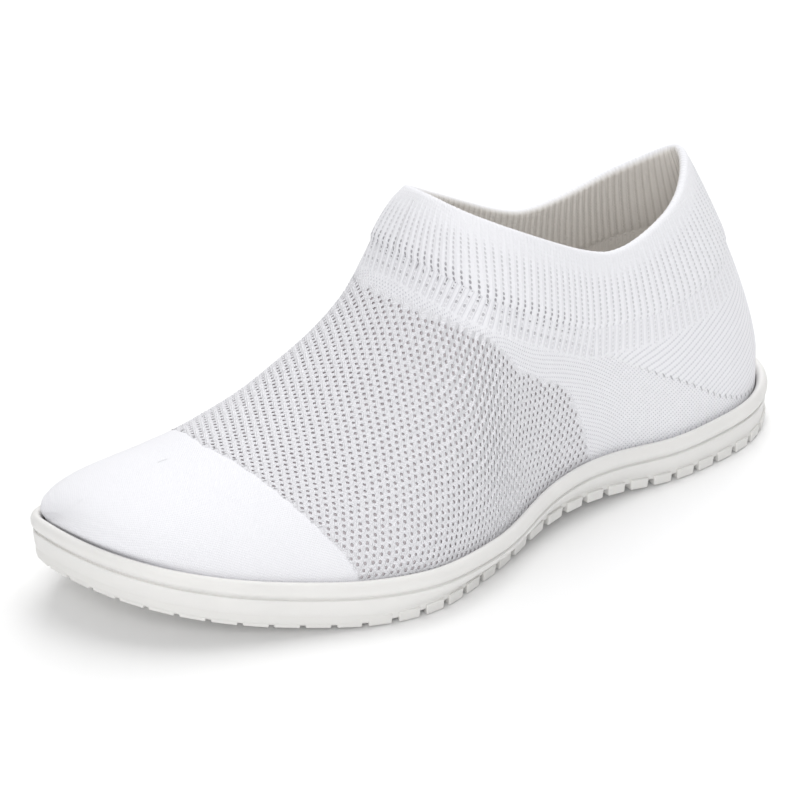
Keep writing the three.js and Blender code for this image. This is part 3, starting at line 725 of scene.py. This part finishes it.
class SHOE_OT_upper_body(bpy.types.Operator):
    """Build the knitted body of the upper, with its lining sunk under the open mesh"""

    bl_idname = "shoe.upper_body"
    bl_label = "Upper Body"
    STATIONS = 300
    ROWS = 62
    UNDER_MESH = 0.12
    FOOT_PROUD = 0.08

    def execute(self, context):
        settings = context.scene.shoe
        lengths = SkinMap()
        angles = np.linspace(0, HALF_TURN, self.STATIONS)
        at = (1 - np.cos(angles)) / 2
        top = np.where(at < COLLAR_END, ankle_rise(at, RIM_LINE) * KNIT_REACH, RIGHT_ANGLE)
        wales = cuff_wales(settings.wale_pitch / MM)
        outer, inner, knit, zone = [], [], [], []
        for side in (1, -1):
            total = lengths.up_of(at, side, top)
            share = np.linspace(0, 1, self.ROWS)
            ups = total[:, None] * share[None, :]
            grid_at = np.repeat(at[:, None], self.ROWS, 1)
            rise = lengths.rise_of(grid_at, side, ups)
            rise[:, -1] = top
            points = upper_point(grid_at, side, rise)
            normals = upper_normal(grid_at, side, rise)
            inside = np.maximum(mesh_margin(grid_at, rise), OUTSIDE_MESH)
            sunk = (settings.mesh_depth / MM + self.UNDER_MESH) * smooth((inside + 0.6) / 0.8)
            sunk = sunk + self._wrinkles(grid_at, ups) - self.FOOT_PROUD * (1 - smooth((ups - 0.6) / 2.6))
            face = points - normals * sunk[..., None]
            back = points - normals * UPPER_WALL
            foot = points[:, :1].copy()
            foot[..., 2] += UPPER_FOOT - FEATHER
            foot_back = back[:, :1].copy()
            foot_back[..., 2] += UPPER_FOOT - FEATHER
            outer.append(np.concatenate([foot, face], 1))
            inner.append(np.concatenate([foot_back, back], 1))
            height = points[..., 2] - lift(grid_at)
            u = lengths.u_of(grid_at)
            below, wale = self._from_cuff(points, wales)
            gore = (height - np.interp(grid_at, GORE_AT, GORE_HEIGHT)) * GORE_SLANT
            gore = np.where(grid_at > GORE_AT[-1], -20, gore)
            both = np.stack([u, lengths.girth_of(at, side)[:, None] - ups, below], -1)
            masks = np.stack([gore, inside, wale], -1)
            knit.append(np.concatenate([both[:, :1], both], 1))
            zone.append(np.concatenate([masks[:, :1], masks], 1))
        rows = self.ROWS + 1
        block = self.STATIONS * rows
        points = np.concatenate([part.reshape(-1, 3) for part in (*outer, *inner)])
        faces = np.concatenate([
            grid_faces(self.STATIONS, rows, 0),
            grid_faces(self.STATIONS, rows, block, flip=True),
            grid_faces(self.STATIONS, rows, 2 * block, flip=True),
            grid_faces(self.STATIONS, rows, 3 * block),
            self._lips(rows, block),
        ])
        attributes = {
            "knit_mm": np.concatenate([k.reshape(-1, 3) for k in (*knit, *knit)]),
            "zone_mm": np.concatenate([z.reshape(-1, 3) for z in zone]
                                      + [z.reshape(-1, 3) * (1, 0, 1) + (0, INNER_SIDE, 0) for z in zone]),
        }
        material = knitted_polyester(settings, wales[3])
        weld(make_piece("upper_body", points, faces.tolist(), material, "upper", attributes))
        return {"FINISHED"}

    def _wrinkles(self, at, up):
        """Depth of the soft creases that follow the bead round the toe, and of the toe band's edge."""
        depth = np.zeros(at.shape)
        for height, start, deep in TOE_CREASES:
            ends = smooth((at - start) / 0.05) * smooth((TOE_CREASE_END - at) / 0.02)
            depth += deep * np.exp(-((up - height) / TOE_CREASE_WIDTH) ** 2) * ends
        toe_line = np.interp(up, *TOE_BAND_LINE)
        return depth + TOE_BAND_STEP * smooth((at - toe_line) * SOLE_LENGTH / 1.6 + 0.5)

    def _from_cuff(self, points, wales):
        """Distance of each point from the cuff's lower line, and the count of wales there."""
        line, run = wales[1:3]
        last = len(line) - 1
        tree = KDTree(len(line))
        for index, place in enumerate(line):
            tree.insert(place, index)
        tree.balance()
        distance, count = [], []
        for place in points.reshape(-1, 3):
            index, away = tree.find(place)[1:]
            before, after = max(index - 1, 0), min(index + 1, last)
            follow = line[after] - line[before]
            ahead = clamp(np.dot(place - line[index], follow) / np.dot(follow, follow) + 0.5) - 0.5
            gain = run[after] - run[before]
            distance.append(away)
            count.append(run[index] + ahead * gain)
        return np.array(distance).reshape(points.shape[:-1]), np.array(count).reshape(points.shape[:-1])

    def _lips(self, rows, block):
        """Faces between the outer and inner skin along the foot and the rim."""
        i = np.arange(self.STATIONS - 1)
        result = []
        for start in (0, block):
            for row in (0, rows - 1):
                a, b = start + i * rows + row, start + (i + 1) * rows + row
                quads = np.stack([a, b, b + 2 * block, a + 2 * block], -1)
                result.append(quads if (start == 0) == (row == 0) else quads[:, ::-1])
        return np.concatenate(result)


def weld(piece, distance=0.02 * MM):
    """Joins points that fall together and turns all faces outward."""
    shape = bmesh.new()
    shape.from_mesh(piece.data)
    bmesh.ops.remove_doubles(shape, verts=shape.verts, dist=distance)
    bmesh.ops.recalc_face_normals(shape, faces=shape.faces)
    shape.to_mesh(piece.data)
    shape.free()


def crease(piece):
    """Keeps edges sharper than a soft moulded bend from being shaded round."""
    piece.data.set_sharp_from_angle(angle=math.radians(38))


class SHOE_OT_vamp_mesh(bpy.types.Operator):
    """Build the open mesh of the vamp as a sheet with real holes"""

    bl_idname = "shoe.vamp_mesh"
    bl_label = "Vamp Mesh"
    MARGIN = 2.0
    EDGE_DROP = 0.04
    CORNER_DROP = 0.16
    BAR_RISE = 0.12
    JITTER = 0.12
    HOLE_SHAPE = (0.76, 0.15, 1.08)
    SPOKES = 8
    BELOW = 2.4
    REACH = 90
    SPAN = 130.0
    MIDDLE = 0.62
    ALONG = (-0.928, 0.372)
    ACROSS = (0.47, 0.883)

    def execute(self, context):
        settings = context.scene.shoe
        first = np.array(self.ALONG) * settings.mesh_along / MM
        second = np.array(self.ACROSS) * settings.mesh_across / MM
        radius = settings.mesh_hole / MM / 2
        depth = settings.mesh_depth / MM
        lengths = SkinMap()
        i, k = np.mgrid[-self.REACH:self.REACH, -self.REACH:self.REACH].reshape(2, -1, 1)
        centres = [lengths.u_of(self.MIDDLE), 0] + i * first + k * second
        centres = centres[np.abs(centres - [lengths.u_of(self.MIDDLE), 0]).max(axis=1) < self.SPAN]
        at, side, rise, up = self._place(lengths, centres)
        margin = mesh_margin(at, rise)
        keep = (up > -self.BELOW) & (margin > -self.MARGIN)
        centres, margin = centres[keep], margin[keep]
        corners = np.array([(1, 0), (1, 1), (0, 1), (-1, 1), (-1, 0), (-1, -1), (0, -1), (1, -1)]) / 2
        rim = corners @ np.stack([first, second])
        turn = np.arctan2(rim[:, 1], rim[:, 0])
        wide, lean, tall = self.HOLE_SHAPE
        ring = np.stack([np.cos(turn) * wide - np.sin(turn) * lean, np.sin(turn) * tall], -1) * radius
        chance = np.random.default_rng(7)
        shift = chance.uniform(-self.JITTER, self.JITTER, (len(centres), 1, 2))
        size = chance.uniform(0.9, 1.1, (len(centres), 1, 1))
        at_corner = np.abs(corners).sum(axis=1) > 0.7
        bars = np.where(at_corner, -self.CORNER_DROP, self.BAR_RISE)
        open_cells = margin > 0.3
        rims, holes = rim[None] + 0 * shift, ring[None] * size
        level = np.zeros(self.SPOKES)
        levels = [(rims, bars), (holes + shift, level - self.EDGE_DROP),
                  (holes * 0.94 + shift, level - depth), (rims, level - depth)]
        flat = np.concatenate([(centres[:, None] + shape).reshape(-1, 2) for shape, _ in levels])
        depths = np.concatenate([np.tile(drop, len(centres)) for _, drop in levels])
        at, side, rise, up = self._place(lengths, flat)
        border = mesh_margin(at, rise)
        sink = 0.5 * smooth((0.2 - border) / 1.6)
        normals = upper_normal(at, side, rise)
        points = upper_point(at, side, rise) + normals * (depths - sink)[:, None]
        points[:, 2] += np.minimum(up, 0)
        count = len(centres) * self.SPOKES
        cell = np.arange(len(centres))[:, None] * self.SPOKES
        spoke = np.arange(self.SPOKES)[None, :]
        after = (spoke + 1) % self.SPOKES
        faces = []
        for low, high in ((0, 1), (1, 2), (2, 3)):
            quads = np.stack([low * count + cell + spoke, low * count + cell + after,
                              high * count + cell + after, high * count + cell + spoke], -1)
            faces += quads[open_cells].reshape(-1, 4).tolist()
        for level, flip in ((0, False), (3, True)):
            ring_ids = (level * count + cell + spoke)[~open_cells]
            faces += (ring_ids[:, ::-1] if flip else ring_ids).tolist()
        # The third number is how deep a point lies under the sheet's top; the mesh material paints shade
        # there.
        knit = np.stack([flat[:, 0], flat[:, 1], np.maximum(0, -self.EDGE_DROP - depths)], -1)
        weld(make_piece("vamp_mesh", points, faces, mesh_knit(settings), "upper", {"knit_mm": knit}),
             0.05 * MM)
        return {"FINISHED"}

    def _place(self, lengths, flat):
        """Station, side, rise and length up the side for places along the shoe and across from its ridge."""
        at = lengths.at_of(flat[:, 0])
        side = np.where(flat[:, 1] >= 0, 1, -1)
        girth = np.where(side > 0, lengths.girth_of(at, 1), lengths.girth_of(at, -1))
        up = girth - np.abs(flat[:, 1])
        return at, side, lengths.rise_of(at, side, np.maximum(up, 0)), up


class SHOE_OT_collar_cuff(bpy.types.Operator):
    """Build the folded rib-knit cuff round the ankle, with its wales and rolled rim"""

    bl_idname = "shoe.collar_cuff"
    bl_label = "Collar Cuff"
    VERTS_PER_WALE = 8
    ROWS = 20
    ROLL = 10
    INSIDE_ROWS = 16
    FOOT_SHARE = 0.13
    PLAIN_RIM = 7.0
    TUCK = 0.3
    MIDDLE_PART = 0.06

    def execute(self, context):
        settings = context.scene.shoe
        turn, _, run, number = cuff_wales(settings.wale_pitch / MM)
        columns = number * self.VERTS_PER_WALE
        phase = np.arange(columns) / self.VERTS_PER_WALE
        angles = np.interp(phase, run, turn)
        wale = (np.abs(np.sin(HALF_TURN * phase)) ** 0.7 - 0.6) * settings.wale_height / MM
        thick = CUFF_PROUD + UPPER_WALL + CUFF_LINING
        tall = np.linalg.norm(self._line(angles, 1.0)[0] - self._line(angles, 0.0)[0], axis=1)
        rows, shares, inner = [], [], []
        for share in np.linspace(0, 1, self.ROWS):
            point, normal = self._line(angles, share)
            start = smooth(share / self.FOOT_SHARE)
            relief = wale * start * smooth(tall * (1 - share) / self.PLAIN_RIM)
            rows.append(point + normal * (CUFF_PROUD * start - self.TUCK * (1 - start) + relief)[:, None])
            shares.append(share)
            inner.append(0.0)
        rim, normal = self._line(angles, 1.0)
        up = rim - self._line(angles, 0.97)[0]
        up /= np.linalg.norm(up, axis=1, keepdims=True)
        fold = rim + normal * (CUFF_PROUD - thick / 2)
        for k in range(1, self.ROLL):
            swing = HALF_TURN * k / self.ROLL
            radius = thick / 2 + wale * 0.7 * smooth(k / self.ROLL)
            outward, upward = np.cos(swing) * radius, np.sin(swing) * radius
            rows.append(fold + normal * outward[:, None] + up * upward[:, None])
            shares.append(1.0)
            inner.append(k / self.ROLL)
        for share in np.linspace(1, 0.05, self.INSIDE_ROWS):
            point, normal = self._line(angles, share)
            end = smooth(share / 0.12)
            depth = (thick - CUFF_PROUD + wale) * end + UPPER_WALL * 0.6 * (1 - end)
            rows.append(point - normal * depth[:, None])
            shares.append(share)
            inner.append(1.0)
        knit = [np.stack([phase, tall * share, np.full(columns, part)], -1)
                for share, part in zip(shares, inner)]
        zone = [np.stack([tall * (1 - share), phase, phase], -1) for share in shares]
        faces = grid_faces(len(rows), columns, closed=True).tolist()
        last = (len(rows) - 1) * columns
        faces += [[i, last + i, last + (i + 1) % columns, (i + 1) % columns] for i in range(columns)]
        attributes = {"knit_mm": np.concatenate(knit), "zone_mm": np.concatenate(zone)}
        material = rib_knit(settings, number)
        weld(make_piece("collar_cuff", np.concatenate(rows), faces, material, "upper", attributes))
        return {"FINISHED"}

    def _line(self, turn, share):
        """Points of the cuff's base and their outward directions, straight ahead or back at the middle."""
        at, side, rise = cuff_point(turn, share)
        normal = upper_normal(at, side, rise)
        across = np.abs(np.sin(turn))
        middle_part = across < self.MIDDLE_PART
        normal[middle_part, 1] *= across[middle_part] / self.MIDDLE_PART
        normal /= np.linalg.norm(normal, axis=1, keepdims=True)
        return upper_point(at, side, rise), normal


def ring_stack(profile, count):
    """Points and faces of a solid between closed rings that follow the outline, from bottom to top."""
    angle = 2 * HALF_TURN * np.arange(2 * count) / (2 * count)
    rings = [edge_point(angle, np.broadcast_to(inset, angle.shape), height)
             for inset, height in profile(angle)]
    faces = grid_faces(len(rings), 2 * count, closed=True).tolist()
    for start, up in ((0, False), ((len(rings) - 1) * 2 * count, True)):
        for i in range(count):
            rung = [start + i, start + i + 1, start + (2 * count - i - 1) % (2 * count),
                    start + (2 * count - i) % (2 * count)]
            rung = list(dict.fromkeys(rung))
            faces.append(rung if up else rung[::-1])
    return np.concatenate(rings), faces


class SHOE_OT_midsole_foam(bpy.types.Operator):
    """Build the foam midsole: battered wall, groove and rounded bead"""

    bl_idname = "shoe.midsole_foam"
    bl_label = "Midsole Foam"
    COUNT = 330

    def execute(self, context):
        def profile(angle):
            tuck = tread_inset(angle)
            rings = []
            for share in np.linspace(0, 0.92, 8):
                rings.append((tuck * (1 - share) ** 2, MIDSOLE_BASE + share * WALL_HEIGHT))
            for swing in (0.3, 0.6, 1.0):
                rings.append((GROOVE_DEPTH * (1 - math.cos(swing * RIGHT_ANGLE)),
                              GROOVE_BASE - 0.4 + 0.4 * math.sin(swing * RIGHT_ANGLE)))
            rings.append((GROOVE_DEPTH, BEAD_BASE))
            for swing in np.linspace(0.12, 1, 6) * RIGHT_ANGLE:
                rings.append((GROOVE_DEPTH - (GROOVE_DEPTH + BEAD_PROUD) * math.sin(swing),
                              BEAD_BASE + 0.4 * BEAD_HEIGHT * (1 - math.cos(swing))))
            half = (BEAD_WIDTH + BEAD_PROUD) / 2
            for swing in np.linspace(0, HALF_TURN, 15)[1:]:
                rings.append((BEAD_WIDTH - half - half * math.cos(swing),
                              BEAD_BASE + BEAD_HEIGHT * (0.4 + 0.6 * math.sin(swing))))
            rings.append((BEAD_WIDTH, FLOOR_TOP))
            return rings

        points, faces = ring_stack(profile, self.COUNT)
        piece = make_piece("midsole_foam", points, faces, moulded_foam(context.scene.shoe), "midsole")
        weld(piece)
        crease(piece)
        return {"FINISHED"}


class SHOE_OT_outsole_tread(bpy.types.Operator):
    """Build the rubber outsole: its layer, the lugs round its edge and the ribs underneath"""

    bl_idname = "shoe.outsole_tread"
    bl_label = "Outsole Tread"
    COUNT = 220

    def execute(self, context):
        rubber = moulded_rubber(context.scene.shoe)

        def profile(angle):
            tuck = tread_inset(angle)
            thick = TOE_TREAD_THICKNESS + (TREAD_THICKNESS - TOE_TREAD_THICKNESS) * prominence(angle)
            return [(tuck + 0.4 * TREAD_THICKNESS, TREAD_TOP - thick),
                    (tuck + 0.12 * TREAD_THICKNESS, TREAD_TOP - 0.85 * thick),
                    (tuck, TREAD_TOP - 0.6 * thick),
                    (tuck, MIDSOLE_BASE)]

        points, faces = ring_stack(profile, self.COUNT)
        layer = make_piece("outsole_layer", points, faces, rubber, "outsole")
        weld(layer)
        crease(layer)
        points, faces = [], []
        for corners, bottom, taper in self._lugs() + self._ribs():
            self._block(points, faces, corners, bottom, taper)
        piece = make_piece("outsole_lugs", np.array(points), faces, rubber, "outsole")
        rounding = piece.modifiers.new("Moulded edges", "BEVEL")
        rounding.width = 0.45 * MM
        rounding.segments = 3
        rounding.limit_method = "ANGLE"
        crease(piece)
        return {"FINISHED"}

    def _block(self, points, faces, corners, bottom, taper):
        """Adds a tapered block that reaches from its bottom into the layer above."""
        start = len(points)
        centre = corners.mean(axis=0)
        for share, height in ((taper, bottom), (0.0, TREAD_TOP - LUG_ROOT)):
            for corner in corners + (centre - corners) * share:
                source = corners[len(points) % 4]
                points.append([corner[0], corner[1], height + float(lift(clamp(source[0] / SOLE_LENGTH)))])
        for i in range(4):
            j = (i + 1) % 4
            faces.append([start + i, start + j, start + 4 + j, start + 4 + i])
        faces.append([start + 3, start + 2, start + 1, start])
        faces.append([start + 4, start + 5, start + 6, start + 7])

    def _lugs(self):
        angles = np.linspace(0, 2 * HALF_TURN, 721)
        run = np.concatenate([[0], np.cumsum(np.linalg.norm(np.diff(outline(angles), axis=0), axis=1))])
        number = round(run[-1] / LUG_PITCH)
        pitch = run[-1] / number
        result = []
        for i in range(number):
            start = np.interp((i + 0.5) * pitch, run, angles)
            notch = TOE_NOTCH + (LUG_NOTCH - TOE_NOTCH) * prominence(start)
            finish = np.array([(i + 1.5) * pitch - notch, (i + 1.5) * pitch - notch - LUG_SLANT])
            end, slanted = np.interp(finish % run[-1], run, angles)
            outer = [edge(a, tread_inset(a) - LUG_PROUD * prominence(a)) for a in (start, end)]
            inner = [edge(a, tread_inset(a) + LUG_DEPTH) for a in (start, slanted)]
            result.append((np.array([outer[0], inner[0], inner[1], outer[1]]), LUG_RELIEF, 0.06))
        return result

    def _ribs(self):
        result = []
        for begin, finish in RIB_ZONES:
            number = round((finish - begin) * SOLE_LENGTH / RIB_PITCH)
            pitch = (finish - begin) * SOLE_LENGTH / number
            for i in range(number):
                start = begin * SOLE_LENGTH + i * pitch
                end = start + pitch - RIB_GAP
                corners = [self._reach(x, side) for x, side in ((start, 1), (start, -1), (end, -1), (end, 1))]
                result.append((np.array(corners), 0.0, 0.02))
        return result

    def _reach(self, x, side):
        angle = side * math.acos(1 - 2 * x / SOLE_LENGTH)
        return [x, float(outline(np.asarray(angle))[1]) - side * RIB_MARGIN]


class SHOE_OT_insole_liner(bpy.types.Operator):
    """Build the loose insole that lies in the midsole's cup"""

    bl_idname = "shoe.insole_liner"
    bl_label = "Insole Liner"
    COUNT = 200

    def execute(self, context):
        def profile(angle):
            base = FLOOR_TOP + CLEARANCE
            rings = [(0.4, 0.0), (0.0, 0.3), (0.0, 0.7), (0.2, 0.88), (0.8, 1.0)]
            return [(INSOLE_INSET + inset, base + share * INSOLE_THICKNESS) for inset, share in rings]

        points, faces = ring_stack(profile, self.COUNT)
        weld(make_piece("insole_liner", points, faces, insole_cloth(), "insole"))
        return {"FINISHED"}


class SHOE_OT_stage(bpy.types.Operator):
    """Set the white studio floor, the soft lights and the camera"""

    bl_idname = "shoe.stage"
    bl_label = "Stage"
    FLOOR_SIZE = 6.0
    AZIMUTH = math.radians(39.32)
    ELEVATION = math.radians(25.96)
    DISTANCE = 1.1518
    TARGET = Vector((-0.0005, 0.00051, 0.03))
    FOCAL = 166.06
    SHIFT_X = -0.0603
    SHIFT_Y = 0.0346
    SKY = 0.45
    SOFT_BOXES = (("Top box", (-0.5, -0.35, 1.45), 1.5, 16.0),
                  ("Rear box", (-1.0, -1.1, 1.0), 0.9, 4.0),
                  ("Front fill", (0.93, 1.0, 0.75), 1.0, 9.5))

    def execute(self, context):
        scene = context.scene
        self._floor(scene)
        self._world(scene)
        self._lights(scene)
        camera = bpy.data.cameras.new("Camera")
        camera.lens = self.FOCAL
        camera.sensor_width = 36.0
        camera.shift_x = self.SHIFT_X
        camera.shift_y = self.SHIFT_Y
        camera.clip_start = 0.05
        eye = bpy.data.objects.new("Camera", camera)
        back = Vector((math.sin(self.AZIMUTH) * math.cos(self.ELEVATION),
                       math.cos(self.AZIMUTH) * math.cos(self.ELEVATION), math.sin(self.ELEVATION)))
        eye.location = self.TARGET + back * self.DISTANCE
        eye.rotation_euler = back.to_track_quat("Z", "Y").to_euler()
        scene.collection.objects.link(eye)
        scene.camera = eye
        scene.view_settings.view_transform = "Standard"
        return {"FINISHED"}

    def _floor(self, scene):
        mesh = bpy.data.meshes.new("Floor")
        r = self.FLOOR_SIZE / 2
        mesh.from_pydata([(-r, -r, 0), (r, -r, 0), (r, r, 0), (-r, r, 0)], [], [(0, 1, 2, 3)])
        material, tree, shader = material_with("White studio paper")
        grain = object_noise(tree, 3.0)
        color = tint(tree, grain, linear("#FBFBFB"), linear("#FAFAFA"))
        fill(tree, shader, {"Base Color": color, "Roughness": 0.9, "Specular IOR Level": 0.0})
        mesh.materials.append(material)
        floor = bpy.data.objects.new("Floor", mesh)
        scene.collection.objects.link(floor)

    def _world(self, scene):
        world = bpy.data.worlds.new("White studio")
        world.use_nodes = True
        tree = world.node_tree
        tree.nodes.clear()
        output = add(tree, "OutputWorld")
        sky = add(tree, "Background", {"Color": (1, 1, 1, 1), "Strength": self.SKY})
        tree.links.new(sky.outputs[0], output.inputs["Surface"])
        scene.world = world

    def _lights(self, scene):
        for name, place, size, power in self.SOFT_BOXES:
            lamp = bpy.data.lights.new(name, "AREA")
            lamp.shape = "SQUARE"
            lamp.size = size
            lamp.energy = power
            holder = bpy.data.objects.new(name, lamp)
            holder.location = place
            holder.rotation_euler = Vector(place).to_track_quat("Z", "Y").to_euler()
            scene.collection.objects.link(holder)


class SHOE_PT_panel(bpy.types.Panel):
    """Sidebar panel with the settings and a button for each piece"""

    bl_idname = "SHOE_PT_panel"
    bl_label = "Barefoot Shoe"
    bl_space_type = "VIEW_3D"
    bl_region_type = "UI"
    bl_category = "Shoe"

    def draw(self, context):
        for field in ShoeSettings.__annotations__:
            self.layout.prop(context.scene.shoe, field)
        for operator in OPERATORS:
            self.layout.operator(operator.bl_idname)


OPERATORS = (SHOE_OT_upper_body, SHOE_OT_vamp_mesh, SHOE_OT_collar_cuff, SHOE_OT_midsole_foam,
             SHOE_OT_outsole_tread, SHOE_OT_insole_liner, SHOE_OT_stage)
CLASSES = (ShoeSettings, *OPERATORS, SHOE_PT_panel)


def register():
    for cls in CLASSES:
        bpy.utils.register_class(cls)
    bpy.types.Scene.shoe = bpy.props.PointerProperty(type=ShoeSettings)


def unregister():
    del bpy.types.Scene.shoe
    for cls in reversed(CLASSES):
        bpy.utils.unregister_class(cls)


def main():
    register()
    bpy.ops.shoe.upper_body()
    bpy.ops.shoe.vamp_mesh()
    bpy.ops.shoe.collar_cuff()
    bpy.ops.shoe.midsole_foam()
    bpy.ops.shoe.outsole_tread()
    bpy.ops.shoe.insole_liner()
    bpy.ops.shoe.stage()


if __name__ == "__main__":
    main()
